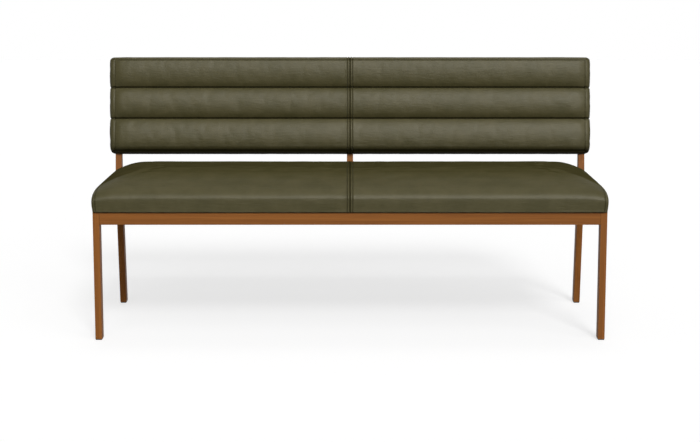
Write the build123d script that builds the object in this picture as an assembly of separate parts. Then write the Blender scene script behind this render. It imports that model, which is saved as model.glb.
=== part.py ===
from build123d import *
import os
from math import cos, hypot, radians, sin, sqrt, tan

# Upholstered bench with a channelled back on a wooden frame, in millimetres.
# X runs along the bench to its right end, Y from the front to the back, Z up from the floor.
# The origin lies on the floor, under the middle of the whole bench.

# Wooden frame
frame_width = 1524.0
frame_height = 387.0
leg_width = 20.0
leg_depth = 38.0
rail_height = 38.0
rail_thickness = 20.0
rear_rail_thickness = 30.0
wood_edge_radius = 1.5
rear_leg_splay = 7.7
post_gap = 5.0
bend_rise = 10.0
bend_radius = 150.0
post_depth = 26.0
post_straight = 15.0

# Glides under the feet
glide_height = 3.0
glide_margin = 1.0
glide_corner_radius = 1.0
glide_stem_radius = 3.0
glide_stem_length = 14.0

# Dowels, tenon and screws
dowel_radius = 4.0
dowel_length = 36.0
dowel_leg_depth = 12.0
dowel_spacing = 18.0
fastener_clearance = 0.1
rear_rail_dowel_share = 0.7
tenon_width = 8.0
tenon_shoulder = 5.0
tenon_depth = 16.0
screw_radius = 2.25
screw_head_radius = 4.5
screw_head_height = 2.7
screw_tip_height = 4.0
pocket_clearance = 0.75

# Bearers and corner blocks under the seat
bearer_width = 20.0
bearer_height = 30.0
bearer_place_share = 1 / 6
bearer_dowel_spacing = 14.0
block_leg = 56.0
block_height = 30.0
block_screw_share = 0.55
block_screw_length = 36.0
block_deck_screw_share = 0.3
screw_pocket_depth = 4.0
deck_screw_bite = 10.0
bearer_screw_shares = (0.15, 0.5, 0.85)

# Upholstery layers
cover_thickness = 1.2
seat_wadding_thickness = 6.0
rear_wadding_thickness = 3.0
layer_gap = 0.3
foam_gap = 0.8
hem_width = 25.0

# Seat
seat_depth = 492.0
seat_rise = 103.0
deck_thickness = 15.0
seat_bulge = 1.5
seat_crown_rise = 2.0
seat_corner_round = 9.0
seat_side_roll = 14.0
seat_side_fall = 34.0
seat_side_fall_length = 120.0
seat_front_roll = 32.0
seat_front_fall = 29.0
seat_front_fall_length = 140.0
seat_rear_roll = 34.0
seat_rear_fall = 3.5
seat_rear_fall_length = 130.0

# Back
back_rake = 9.0
back_overlap = 16.5
back_lift = 121.0
back_overhang = 16.0
back_thickness = 72.0
top_channel_height = 97.0
channel_height = 100.0
bottom_channel_height = 114.0
groove_depth = 12.0
back_end_roll = 18.0
back_end_fall = 5.0
back_end_fall_length = 50.0
back_bottom_roll = 28.0
back_bottom_corner = 15.0
back_top_roll = 8.0
back_top_corner = 12.0
back_edge_draw = 3.0
back_rear_round = 5.0
end_notch_radius = 4.0
end_notch_depth = 2.0
back_board_thickness = 9.0
rear_board_thickness = 3.0
rear_cover_margin = 5.0
core_bottom = 6.0
core_top_margin = 8.0
back_rail_height = 40.0
back_rail_dowel_spacing = 16.0
board_screw_length = 28.0
board_screw_shares = (0.25, 0.5, 0.75)
post_clearance = 0.5

# Stations of the rounded ends, as angles round the roll and shares of the fall behind it
roll_angles = (0, 15, 30, 45, 60, 75, 90)
fall_shares = (0.2, 0.4, 0.6, 0.8, 1.0)
half_angle = 45
fall_middle_share = 0.5

# Places that follow from the sizes above
half_width = frame_width / 2
bend_distance = seat_depth + post_gap
back_distance = seat_depth - back_overlap
rail_bottom = frame_height - rail_height
rail_middle = frame_height - rail_height / 2
leg_middle_x = half_width - leg_width / 2
inner_x = half_width - leg_width
rake_sin = sin(radians(back_rake))
rake_cos = cos(radians(back_rake))
splay_tan = tan(radians(rear_leg_splay))
splay_cos = cos(radians(rear_leg_splay))
back_height = top_channel_height + channel_height + bottom_channel_height
back_half_width = half_width + back_overhang
rear_reach = (
    back_distance
    + back_height * rake_sin
    + back_thickness * rake_cos
    - back_rear_round * (rake_sin + rake_cos - 1)
)
front_y = -(rear_reach - seat_bulge) / 2
bend_y = front_y + bend_distance
bend_z = frame_height + bend_rise
back_foot_y = front_y + back_distance
back_foot_z = frame_height + back_lift
hem_top = frame_height + cover_thickness
wadding_inset = cover_thickness + layer_gap
foam_inset = wadding_inset + seat_wadding_thickness + foam_gap
deck_top = hem_top + deck_thickness
rear_layers = rear_board_thickness + rear_wadding_thickness + layer_gap + cover_thickness
post_front = back_thickness - post_depth - rear_layers
board_front = post_front - back_board_thickness
rear_board_front = post_front + post_depth
rear_wadding_front = rear_board_front + rear_board_thickness
rear_cover_front = back_thickness - cover_thickness
core_top = back_height - core_top_margin
grooves = (bottom_channel_height, bottom_channel_height + channel_height)


def box(low, high):
    """Box between two opposite corners."""
    size = [b - a for a, b in zip(low, high)]
    middle = [(a + b) / 2 for a, b in zip(low, high)]
    return Pos(*middle) * Box(*size)


def group(solids):
    """One node that holds several separate solids."""
    return Compound(children=list(solids))


def mirrored(shape):
    """The same shape at the other end of the bench."""
    return mirror(shape, about=Plane.YZ)


def wire_through(plane, start, steps):
    """Closed wire in a plane: a step of one point is a line, one of two points is an arc."""
    edges = []
    here = plane.from_local_coords(start)
    for step in steps:
        points = [plane.from_local_coords(point) for point in step]
        if len(points) == 1:
            edges.append(Edge.make_line(here, points[0]))
        else:
            edges.append(Edge.make_three_point_arc(here, points[0], points[1]))
        here = points[-1]
    return Wire(edges)


def round_off(distance, radius):
    """How far a rounded edge has dropped, at a distance in from its face."""
    reach = max(radius - distance, 0)
    return radius - sqrt(radius**2 - reach**2)


def crown_drop(distance, roll, fall, length):
    """Drop of a soft edge: a round roll, then a fall that eases into the level."""
    share = max(1 - max(distance - roll, 0) / length, 0)
    return round_off(distance, roll) + fall * share**2


def station_places(half, roll, length):
    """Places of the loft's sections from one end to the other, dense in the rolls."""
    rolls = [roll * (1 - cos(radians(angle))) for angle in roll_angles]
    falls = [roll + length * share for share in fall_shares]
    right = [half - distance for distance in rolls + falls]
    return [-place for place in right] + right[::-1]


def eased(bar, axis):
    """Bar with its long edges rounded over."""
    return fillet(bar.edges().filter_by(axis), wood_edge_radius)


# Fasteners stand along +Z with their head or end at zero, and are turned into place.


def dowel(place, direction, radius=dowel_radius, ends=0):
    """Dowel whose middle plane, where its two pieces meet, lies at a place."""
    plane = Plane(origin=place, z_dir=direction)
    length = dowel_length + 2 * ends
    pin = Cylinder(radius, length, align=(Align.CENTER, Align.CENTER, Align.MIN))
    return plane * Pos(0, 0, -dowel_leg_depth - ends) * pin


def dowel_hole(place, direction):
    """Room for a dowel."""
    return dowel(place, direction, dowel_radius + fastener_clearance, fastener_clearance)


def screw(place, direction, length, growth=0):
    """Countersunk screw with its head's face at a place, driven along a direction."""
    plane = Plane(origin=place, z_dir=direction)
    upright = (Align.CENTER, Align.CENTER, Align.MIN)
    head = Cone(screw_head_radius + growth, screw_radius + growth, screw_head_height, align=upright)
    shank_length = length - screw_head_height - screw_tip_height
    shank = Cylinder(screw_radius + growth, shank_length, align=upright)
    point = Cone(screw_radius + growth, screw_radius / 2 + growth, screw_tip_height + growth, align=upright)
    body = head + Pos(0, 0, screw_head_height) * shank
    return plane * (body + Pos(0, 0, screw_head_height + shank_length) * point)


def screw_hole(place, direction, length):
    """Room for a screw, and the way in for its head."""
    plane = Plane(origin=place, z_dir=direction)
    way_in = Cylinder(
        screw_head_radius + pocket_clearance,
        block_leg,
        align=(Align.CENTER, Align.CENTER, Align.MAX),
    )
    return screw(place, direction, length, fastener_clearance) + plane * way_in


# Wooden frame


def rear_leg_front(z):
    """Y of a rear leg's front face at a height."""
    if z < bend_z:
        return bend_y + (bend_z - z) * splay_tan
    return bend_y + (z - bend_z) * rake_sin / rake_cos


def back_plane(x):
    """Plane across the back at a place along it: its x runs rearwards, its y up the rake."""
    origin = (x, back_foot_y, back_foot_z)
    return Plane(origin=origin, x_dir=(0, rake_cos, -rake_sin), z_dir=(1, 0, 0))


def back_point(depth, rise, x=0):
    """Place of a point given by its depth into the back and its rise up the rake."""
    return back_plane(x).from_local_coords((depth, rise, 0))


def rear_rail_front():
    """Y of the rear rail's front face, flush with the rear legs' at the rail's top."""
    return rear_leg_front(frame_height)


def front_rail_joints():
    """Places and directions of the dowels between the front rail and the front legs."""
    y = front_y + rail_thickness / 2
    return [
        ((side * inner_x, y, rail_middle + up * dowel_spacing / 2), (-side, 0, 0))
        for side in (-1, 1)
        for up in (-1, 1)
    ]


def rear_rail_joints():
    """Places and directions of the dowels between the rear rail and the rear legs."""
    y = rear_rail_front() + rear_rail_thickness * rear_rail_dowel_share
    return [
        ((side * inner_x, y, rail_middle + up * dowel_spacing / 2), (-side, 0, 0))
        for side in (-1, 1)
        for up in (-1, 1)
    ]


def side_rail_joints():
    """Places and directions of the dowels at both ends of the side rails."""
    joints = []
    for side in (-1, 1):
        for up in (-1, 1):
            z = rail_middle + up * dowel_spacing / 2
            x = side * leg_middle_x
            joints.append(((x, front_y + leg_depth, z), (0, 1, 0)))
            joints.append(((x, rear_leg_front(z), z), (0, -1, 0)))
    return joints


def bearer_joints():
    """Places and directions of the dowels at both ends of the bearers."""
    middle = frame_height - bearer_height / 2
    joints = []
    for side in (-1, 1):
        for up in (-1, 1):
            x = side * frame_width * bearer_place_share
            z = middle + up * bearer_dowel_spacing / 2
            joints.append(((x, front_y + rail_thickness, z), (0, 1, 0)))
            joints.append(((x, rear_rail_front(), z), (0, -1, 0)))
    return joints


def glide(x, y):
    """Plain pad with a round stem that presses up into a foot, for a foot centred at x, y."""
    width = leg_width - 2 * glide_margin
    depth = leg_depth - 2 * glide_margin
    low = (x - width / 2, y - depth / 2, 0)
    high = (x + width / 2, y + depth / 2, glide_height)
    pad = fillet(box(low, high).edges().filter_by(Axis.Z), glide_corner_radius)
    stem = Cylinder(
        glide_stem_radius, glide_stem_length, align=(Align.CENTER, Align.CENTER, Align.MIN)
    )
    return pad + Pos(x, y, glide_height) * stem


def glide_hole(x, y):
    """Hole in a foot for the stem of its glide."""
    stem = Cylinder(
        glide_stem_radius + fastener_clearance,
        glide_stem_length + fastener_clearance,
        align=(Align.CENTER, Align.CENTER, Align.MIN),
    )
    return Pos(x, y, glide_height) * stem


def front_foot_y():
    """Middle of a front foot."""
    return front_y + leg_depth / 2


def rear_foot_y():
    """Middle of a rear foot."""
    return rear_leg_front(glide_height) + leg_depth / splay_cos / 2


def front_leg(side):
    """Straight front leg under the corner of the seat."""
    low = (leg_middle_x - leg_width / 2, front_y, glide_height)
    high = (leg_middle_x + leg_width / 2, front_y + leg_depth, frame_height)
    leg = eased(box(low, high), Axis.Z)
    leg = leg if side > 0 else mirrored(leg)
    for place, direction in front_rail_joints() + side_rail_joints():
        leg = leg - dowel_hole(place, direction)
    return leg - glide_hole(side * leg_middle_x, front_foot_y())


def leg_profile():
    """Side outline of a rear leg with its post, bent where the rails meet it."""
    depth = leg_depth / splay_cos
    post_top = back_point(post_front, core_top)
    post_top_rear = back_point(post_front + post_depth, core_top)
    post_foot_rear = back_point(post_front + post_depth, -post_straight)
    front_foot = (rear_leg_front(glide_height), glide_height)
    return Polyline(
        front_foot,
        (bend_y, bend_z),
        (post_top.Y, post_top.Z),
        (post_top_rear.Y, post_top_rear.Z),
        (post_foot_rear.Y, post_foot_rear.Z),
        (bend_y + depth, bend_z),
        (front_foot[0] + depth, glide_height),
        close=True,
    )


def rear_leg(side):
    """Rear leg in one piece with the post that carries the back."""
    profile = make_face(leg_profile())
    bends = [v for v in profile.vertices() if bend_z - bend_rise < v.Y < back_foot_z + back_rail_height]
    profile = fillet(bends, bend_radius)
    leg = Pos(inner_x, 0, 0) * extrude(Plane.YZ * profile, leg_width)
    ends = leg.edges().filter_by(Axis.X)
    long_edges = [e for e in leg.edges() if e not in ends and e.length > leg_depth]
    leg = fillet(long_edges, wood_edge_radius)
    leg = leg if side > 0 else mirrored(leg)
    for place, direction in rear_rail_joints() + side_rail_joints() + back_rail_joints():
        leg = leg - dowel_hole(place, direction)
    for place, direction in board_screw_places():
        leg = leg - screw_hole(place, direction, board_screw_length)
    return leg - glide_hole(side * leg_middle_x, rear_foot_y())


def front_rail():
    """Front rail between the front legs, flush with their faces."""
    low = (-inner_x, front_y, rail_bottom)
    high = (inner_x, front_y + rail_thickness, frame_height)
    rail = eased(box(low, high), Axis.X)
    for place, direction in front_rail_joints() + bearer_joints():
        rail = rail - dowel_hole(place, direction)
    for place, direction in block_screw_places():
        rail = rail - screw_hole(place, direction, block_screw_length)
    return rail


def rear_rail():
    """Rear rail between the rear legs, thick enough to hold the middle post."""
    low = (-inner_x, rear_rail_front(), rail_bottom)
    high = (inner_x, rear_rail_front() + rear_rail_thickness, frame_height)
    rail = eased(box(low, high), Axis.X)
    for place, direction in rear_rail_joints() + bearer_joints():
        rail = rail - dowel_hole(place, direction)
    for place, direction in block_screw_places():
        rail = rail - screw_hole(place, direction, block_screw_length)
    rail = rail - tenon(fastener_clearance)
    return rail - screw_hole(*centre_screw_place(), centre_screw_length())


def side_rail(side):
    """Side rail from a front leg to the sloping face of the rear leg."""
    outline = Polyline(
        (front_y + leg_depth, rail_bottom),
        (rear_leg_front(rail_bottom), rail_bottom),
        (rear_leg_front(frame_height), frame_height),
        (front_y + leg_depth, frame_height),
        close=True,
    )
    rail = Pos(inner_x, 0, 0) * extrude(Plane.YZ * make_face(outline), leg_width)
    long_edges = rail.edges().filter_by(Axis.Y)
    rail = fillet(long_edges, wood_edge_radius)
    rail = rail if side > 0 else mirrored(rail)
    for place, direction in side_rail_joints():
        rail = rail - dowel_hole(place, direction)
    for place, direction in block_screw_places():
        rail = rail - screw_hole(place, direction, block_screw_length)
    return rail


def tenon(growth=0):
    """Tenon of the middle post, or its mortise in the rear rail."""
    low_y = rear_rail_front() + tenon_shoulder
    high_y = rear_rail_front() + rear_rail_thickness - tenon_shoulder
    low = (-tenon_width / 2 - growth, low_y - growth, frame_height - tenon_depth - growth)
    high = (tenon_width / 2 + growth, high_y + growth, frame_height)
    return box(low, high)


def centre_screw_place():
    """Place and direction of the screw that holds the middle post from below."""
    y = rear_rail_front() + rear_rail_thickness / 2
    return (0, y, rail_bottom + screw_pocket_depth), (0, 0, 1)


def centre_screw_length():
    """Length of that screw: through the rail and the tenon into the post."""
    return rail_height + tenon_depth


def centre_post():
    """Middle post, from its tenon in the rear rail up into the back."""
    depth = leg_depth / splay_cos
    top = core_top - back_rail_height
    corners = [
        (rear_leg_front(frame_height), frame_height),
        (bend_y, bend_z),
        (back_point(post_front, top).Y, back_point(post_front, top).Z),
        (back_point(post_front + post_depth, top).Y, back_point(post_front + post_depth, top).Z),
        (
            back_point(post_front + post_depth, -post_straight).Y,
            back_point(post_front + post_depth, -post_straight).Z,
        ),
        (bend_y + depth, bend_z),
        (rear_leg_front(frame_height) + depth, frame_height),
    ]
    outline = make_face(Polyline(*corners, close=True))
    post = Pos(-leg_width / 2, 0, 0) * extrude(Plane.YZ * outline, leg_width)
    long_edges = [e for e in post.edges() if abs((e @ 0).X - (e @ 1).X) < wood_edge_radius]
    post = fillet([e for e in long_edges if e.length > leg_depth * 2], wood_edge_radius)
    post = post + tenon()
    for place, direction in back_rail_joints():
        post = post - dowel_hole(place, direction)
    for place, direction in board_screw_places():
        post = post - screw_hole(place, direction, board_screw_length)
    return post - screw_hole(*centre_screw_place(), centre_screw_length())


def bearer(side):
    """Bearer under the seat, from the front rail to the rear rail."""
    x = side * frame_width * bearer_place_share
    low = (x - bearer_width / 2, front_y + rail_thickness, frame_height - bearer_height)
    high = (x + bearer_width / 2, rear_rail_front(), frame_height)
    bar = eased(box(low, high), Axis.Y)
    for place, direction in bearer_joints():
        bar = bar - dowel_hole(place, direction)
    for place, length in deck_screw_places():
        bar = bar - screw_hole(place, (0, 0, 1), length)
    return bar


def block_corners():
    """Inner corners of the frame, each with the directions along its two rails."""
    front = front_y + rail_thickness
    return [
        ((side * inner_x, y), (-side, along))
        for y, along in ((front, 1), (rear_rail_front(), -1))
        for side in (-1, 1)
    ]


def corner_block(corner, inward):
    """Three-cornered block that stiffens a corner of the frame."""
    (x, y), (along_x, along_y) = corner, inward
    outline = Polyline(
        (x, y),
        (x + along_x * block_leg, y),
        (x, y + along_y * block_leg),
        close=True,
    )
    face = make_face(outline)
    block = extrude(Pos(0, 0, frame_height) * face, block_height, dir=(0, 0, -1))
    for place, direction in block_screw_places():
        block = block - screw_hole(place, direction, block_screw_length)
    for place, length in deck_screw_places():
        block = block - screw_hole(place, (0, 0, 1), length)
    return block


def block_screw_places():
    """Places and directions of the screws from the corner blocks into the rails."""
    places = []
    z = frame_height - block_height / 2
    along = block_leg * block_screw_share
    deep = block_leg - along - screw_pocket_depth
    for (x, y), (along_x, along_y) in block_corners():
        lift = screw_head_radius if along_y > 0 else -screw_head_radius
        places.append(((x + along_x * along, y + along_y * deep, z + lift), (0, -along_y, 0)))
        places.append(((x + along_x * deep, y + along_y * along, z - lift), (-along_x, 0, 0)))
    return places


def deck_screw_places():
    """Places and lengths of the upright screws that hold the seat's deck."""
    places = []
    bearer_foot = frame_height - bearer_height + screw_pocket_depth
    bearer_front = front_y + rail_thickness
    run = rear_rail_front() - bearer_front
    length = bearer_height - screw_pocket_depth + cover_thickness + deck_screw_bite
    for side in (-1, 1):
        x = side * frame_width * bearer_place_share
        for share in bearer_screw_shares:
            places.append(((x, bearer_front + run * share, bearer_foot), length))
    block_foot = frame_height - block_height + screw_pocket_depth
    block_length = block_height - screw_pocket_depth + cover_thickness + deck_screw_bite
    for (x, y), (along_x, along_y) in block_corners():
        step = block_leg * block_deck_screw_share
        if along_y > 0:
            places.append(((x + along_x * step, y + step, block_foot), block_length))
    return places


# Seat


def seat_section(x, inset, base):
    """Outline of the seat's soft form across one place along it."""
    plane = Plane(origin=(x, 0, 0), x_dir=(0, 1, 0), z_dir=(1, 0, 0))
    distance = half_width - inset - abs(x)
    side_drop = crown_drop(
        distance, seat_side_roll - inset, seat_side_fall, seat_side_fall_length
    )
    corner = round_off(distance, seat_corner_round - inset / 2)
    top = frame_height + seat_rise - inset
    front = front_y + inset + corner
    rear = front_y + seat_depth - inset - corner

    def front_point(along, drop):
        return (front + along, top - hypot(side_drop, drop))

    def rear_point(along, drop):
        return (rear - along, top - hypot(side_drop, drop))

    def edge_points(point, roll, fall, length):
        part = roll * (1 - cos(radians(half_angle)))
        return (
            point(0, roll + fall + seat_crown_rise),
            point(part, roll * (1 - sin(radians(half_angle))) + fall + seat_crown_rise),
            point(roll, fall + seat_crown_rise),
            point(
                roll + length * fall_middle_share,
                fall * (1 - fall_middle_share) ** 2 + seat_crown_rise,
            ),
            point(roll + length, seat_crown_rise),
        )

    f = edge_points(
        front_point, seat_front_roll - inset, seat_front_fall, seat_front_fall_length
    )
    r = edge_points(rear_point, seat_rear_roll - inset, seat_rear_fall, seat_rear_fall_length)
    crown = ((f[4][0] + r[4][0]) / 2, top - side_drop)
    front_belly = (front - seat_bulge, (base + f[0][1]) / 2)
    rear_belly = (rear + seat_bulge, (base + r[0][1]) / 2)
    steps = [
        (front_belly, f[0]),
        (f[1], f[2]),
        (f[3], f[4]),
        (crown, r[4]),
        (r[3], r[2]),
        (r[1], r[0]),
        (rear_belly, (rear, base)),
        ((front, base),),
    ]
    return wire_through(plane, (front, base), steps)


def seat_form(inset, base):
    """Crowned form of the seat, drawn in by a layer's depth, from a base height up."""
    places = station_places(half_width - inset, seat_side_roll - inset, seat_side_fall_length)
    return Solid.make_loft([seat_section(x, inset, base) for x in places], ruled=True)


def side_half(shape, side):
    """The part of a shape on one side of the middle seam."""
    reach = back_half_width * 2
    low = (0, -reach, 0) if side > 0 else (-reach, -reach, 0)
    high = (reach, reach, reach) if side > 0 else (0, reach, reach)
    return shape & box(low, high)


def seat_cover():
    """Leather cover of the seat, turned under the deck as a hem."""
    inner = seat_form(cover_thickness, hem_top)
    x = half_width - hem_width
    opening = box(
        (-x, front_y + hem_width, frame_height),
        (x, front_y + seat_depth - hem_width, hem_top),
    )
    return seat_form(0, frame_height) - inner - opening


def seat_dust_cover():
    """Thin cloth that closes the seat's underside inside the hem."""
    x = half_width - hem_width - layer_gap
    low_y = front_y + hem_width + layer_gap
    high_y = front_y + seat_depth - hem_width - layer_gap
    cloth = box((-x, low_y, frame_height), (x, high_y, hem_top))
    for place, length in deck_screw_places():
        cloth = cloth - screw_hole(place, (0, 0, 1), length)
    return cloth


def seat_deck():
    """Plywood deck that the seat's foam lies on."""
    x = half_width - foam_inset
    low = (-x, front_y + foam_inset, hem_top)
    high = (x, front_y + seat_depth - foam_inset, deck_top)
    deck = fillet(box(low, high).edges().filter_by(Axis.Z), seat_corner_round)
    for place, length in deck_screw_places():
        deck = deck - screw_hole(place, (0, 0, 1), length)
    return deck


def seat_wadding():
    """Soft wrap over the foam and the deck's edges."""
    inner = seat_form(wadding_inset + seat_wadding_thickness, hem_top)
    return seat_form(wadding_inset, hem_top) - inner


def seat_foam():
    """Foam block with the seat's crown."""
    return seat_form(foam_inset, deck_top)


# Back


def back_section(x, inset):
    """Outline of the back's soft form across one place along it."""
    distance = back_half_width - inset - abs(x)
    front = inset + crown_drop(
        distance, back_end_roll - inset, back_end_fall, back_end_fall_length
    )
    rear = back_thickness - inset - round_off(distance, back_rear_round - inset / 2)
    low = inset + round_off(distance, back_bottom_corner - inset)
    high = back_height - inset - round_off(distance, back_top_corner - inset / 2)
    groove = front + groove_depth
    edge = front + back_edge_draw
    bottom_roll = back_bottom_roll - inset
    top_roll = back_top_roll - inset / 2
    rear_round = back_rear_round - inset / 2
    slant = 1 - cos(radians(half_angle))
    lower, upper = grooves
    steps = [
        (
            (edge + bottom_roll * slant, low + bottom_roll * slant),
            (edge, low + bottom_roll),
        ),
        ((front, (low + bottom_roll + lower) / 2), (groove, lower)),
        ((front, (lower + upper) / 2), (groove, upper)),
        ((front, (upper + high - top_roll) / 2), (edge, high - top_roll)),
        (
            (edge + top_roll * slant, high - top_roll * slant),
            (edge + top_roll, high),
        ),
        ((rear - rear_round, high),),
        ((rear - rear_round * slant, high - rear_round * slant), (rear, high - rear_round)),
        ((rear, low + rear_round),),
        ((rear - rear_round * slant, low + rear_round * slant), (rear - rear_round, low)),
        ((edge + bottom_roll, low),),
    ]
    return wire_through(back_plane(x), (edge + bottom_roll, low), steps)


def end_notch(side, rise, inset):
    """Notch where a channel's seam runs round an end of the back."""
    x = side * (back_half_width + end_notch_radius - end_notch_depth)
    origin = back_point(back_thickness / 2, rise, x)
    across = Plane(origin=origin, x_dir=(1, 0, 0), z_dir=(0, rake_cos, -rake_sin))
    return across * Cylinder(end_notch_radius + inset, back_thickness * 2)


def back_form(inset):
    """Channelled form of the back, drawn in by a layer's depth."""
    roll = back_bottom_corner - inset
    places = station_places(back_half_width - inset, roll, back_end_fall_length)
    form = Solid.make_loft([back_section(x, inset) for x in places], ruled=True)
    for side in (-1, 1):
        for rise in grooves:
            form = form - end_notch(side, rise, inset)
    return form


def back_box(low, high):
    """Box in the back's own directions: along, depth and rise of two opposite corners."""
    size = [b - a for a, b in zip(low, high)]
    middle = [(a + b) / 2 for a, b in zip(low, high)]
    plane = back_plane(middle[0])
    return plane * Pos(middle[1], middle[2], 0) * Box(size[1], size[2], size[0])


def post_spaces():
    """Room for the three posts where they pass into the back."""
    spaces = []
    for x in (-leg_middle_x, 0, leg_middle_x):
        reach = leg_width / 2 + post_clearance
        spaces.append(
            back_box(
                (x - reach, post_front - post_clearance, -back_lift),
                (x + reach, post_front + post_depth + post_clearance, core_top + post_clearance),
            )
        )
    return spaces


def back_cover():
    """Leather over the front, ends, top and underside of the back."""
    cover = back_form(0) - back_form(cover_thickness)
    x = back_half_width - rear_cover_margin
    cover = cover - back_box(
        (-x, rear_cover_front - layer_gap, rear_cover_margin),
        (x, back_thickness * 2, back_height - rear_cover_margin),
    )
    for space in post_spaces():
        cover = cover - space
    return cover


def back_rear_cover():
    """Leather panel over the rear of the back."""
    inset = rear_cover_margin + layer_gap
    x = back_half_width - inset
    return back_box(
        (-x, rear_cover_front, inset), (x, back_thickness, back_height - inset)
    )


def back_rear_wadding():
    """Wadding between the rear board and its leather."""
    return back_box(
        (-half_width, rear_wadding_front, core_bottom),
        (half_width, rear_cover_front - layer_gap, core_top),
    )


def back_rear_board():
    """Thin board that closes the rear of the back."""
    return back_box(
        (-half_width, rear_board_front, core_bottom), (half_width, rear_wadding_front, core_top)
    )


def back_board():
    """Plywood behind the channels, screwed to the three posts."""
    board = back_box((-half_width, board_front, core_bottom), (half_width, post_front, core_top))
    for place, direction in board_screw_places():
        board = board - screw_hole(place, direction, board_screw_length)
    return board


def board_screw_places():
    """Places and direction of the screws through the board into the posts."""
    run = core_top - core_bottom - back_rail_height
    direction = (0, rake_cos, -rake_sin)
    return [
        (back_point(board_front, core_bottom + run * share, x), direction)
        for x in (-leg_middle_x, 0, leg_middle_x)
        for share in board_screw_shares
    ]


def channel_pad(low, high):
    """Foam of one channel between two heights up the back."""
    slab = back_box(
        (-back_half_width, 0, low + layer_gap / 2), (back_half_width, board_front, high - layer_gap / 2)
    )
    return back_form(wadding_inset) & slab


def end_padding(side):
    """Foam strip over an end of the back's wooden core."""
    ends = (half_width, back_half_width) if side > 0 else (-back_half_width, -half_width)
    slab = back_box(
        (ends[0], board_front, 0), (ends[1], rear_cover_front - layer_gap, back_height)
    )
    return back_form(wadding_inset) & slab


def top_padding():
    """Foam strip over the top of the back's wooden core."""
    return back_form(wadding_inset) & back_box(
        (-half_width, board_front, core_top), (half_width, rear_cover_front - layer_gap, back_height)
    )


def bottom_padding():
    """Foam strip under the back's wooden core, open where the posts pass."""
    strip = back_form(wadding_inset) & back_box(
        (-half_width, board_front, 0), (half_width, rear_cover_front - layer_gap, core_bottom)
    )
    for space in post_spaces():
        strip = strip - space
    return strip


def back_top_rail():
    """Rail between the two end posts at the top of the back, over the middle post."""
    rail = back_box(
        (-inner_x, post_front, core_top - back_rail_height), (inner_x, rear_board_front, core_top)
    )
    for place, direction in back_rail_joints():
        rail = rail - dowel_hole(place, direction)
    return rail


def back_bottom_rail(side):
    """Rail between the middle post and an end post, at the bottom of the back."""
    ends = (leg_width / 2, inner_x) if side > 0 else (-inner_x, -leg_width / 2)
    rail = back_box(
        (ends[0], post_front, core_bottom), (ends[1], rear_board_front, core_bottom + back_rail_height)
    )
    for place, direction in back_rail_joints():
        rail = rail - dowel_hole(place, direction)
    return rail


def back_rail_joints():
    """Places and directions of the dowels that join the back's rails to the posts."""
    joints = []
    depth = post_front + post_depth / 2
    low = core_bottom + back_rail_height / 2
    high = core_top - back_rail_height / 2
    for side in (-1, 1):
        for up in (-1, 1):
            step = up * back_rail_dowel_spacing / 2
            joints.append((back_point(depth, low + step, side * inner_x), (-side, 0, 0)))
            joints.append((back_point(depth, high + step, side * inner_x), (-side, 0, 0)))
    joints.append((back_point(depth, core_top - back_rail_height), (0, -rake_sin, -rake_cos)))
    return joints


# Write one file for each node


def write(name, shape):
    """Write a node's solids to its own file."""
    export_step(shape, os.path.join("parts", name + ".step"))


def write_frame():
    """The wooden frame and what joins it."""
    for name, side in (("left", -1), ("right", 1)):
        write("front_leg_" + name, front_leg(side))
        write("rear_leg_" + name, rear_leg(side))
        write("side_rail_" + name, side_rail(side))
        write("seat_bearer_" + name, bearer(side))
        write("front_glide_" + name, glide(side * leg_middle_x, front_foot_y()))
        write("rear_glide_" + name, glide(side * leg_middle_x, rear_foot_y()))
    write("front_rail", front_rail())
    write("rear_rail", rear_rail())
    write("centre_post", centre_post())
    names = ("front_left", "front_right", "rear_left", "rear_right")
    for name, (corner, inward) in zip(names, block_corners()):
        write("corner_block_" + name, corner_block(corner, inward))


def write_fasteners():
    """Dowels and screws, one node for each kind."""
    dowels = {
        "front_rail_dowels": front_rail_joints(),
        "rear_rail_dowels": rear_rail_joints(),
        "side_rail_dowels": side_rail_joints(),
        "bearer_dowels": bearer_joints(),
        "back_rail_dowels": back_rail_joints(),
    }
    for name, joints in dowels.items():
        write(name, group(dowel(place, direction) for place, direction in joints))
    blocks = block_screw_places()
    write("corner_block_screws", group(screw(p, d, block_screw_length) for p, d in blocks))
    boards = board_screw_places()
    write("back_board_screws", group(screw(p, d, board_screw_length) for p, d in boards))
    decks = deck_screw_places()
    write("seat_screws", group(screw(p, (0, 0, 1), length) for p, length in decks))
    write("centre_post_screw", screw(*centre_screw_place(), centre_screw_length()))


def write_seat():
    """The seat's deck, foam, wadding and covers."""
    cover = seat_cover()
    write("seat_cover_left", side_half(cover, -1))
    write("seat_cover_right", side_half(cover, 1))
    write("seat_dust_cover", seat_dust_cover())
    write("seat_deck", seat_deck())
    write("seat_wadding", seat_wadding())
    write("seat_foam", seat_foam())


def write_back():
    """The back's inner frame, boards, foam and covers."""
    cover = back_cover()
    write("back_cover_left", side_half(cover, -1))
    write("back_cover_right", side_half(cover, 1))
    write("back_rear_cover", back_rear_cover())
    write("back_rear_wadding", back_rear_wadding())
    write("back_rear_board", back_rear_board())
    write("back_board", back_board())
    lower, upper = grooves
    write("back_foam_bottom", channel_pad(0, lower))
    write("back_foam_middle", channel_pad(lower, upper))
    write("back_foam_top", channel_pad(upper, back_height))
    write("back_end_padding_left", end_padding(-1))
    write("back_end_padding_right", end_padding(1))
    write("back_top_padding", top_padding())
    write("back_bottom_padding", bottom_padding())
    write("back_top_rail", back_top_rail())
    write("back_bottom_rail_left", back_bottom_rail(-1))
    write("back_bottom_rail_right", back_bottom_rail(1))


os.makedirs("parts", exist_ok=True)
write_frame()
write_fasteners()
write_seat()
write_back()
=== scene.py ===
from math import cos, pi, radians, sin

import bmesh
import bpy
import numpy as np
from mathutils import Matrix, Vector, noise
from mathutils.bvhtree import BVHTree
from mathutils.kdtree import KDTree


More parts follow.
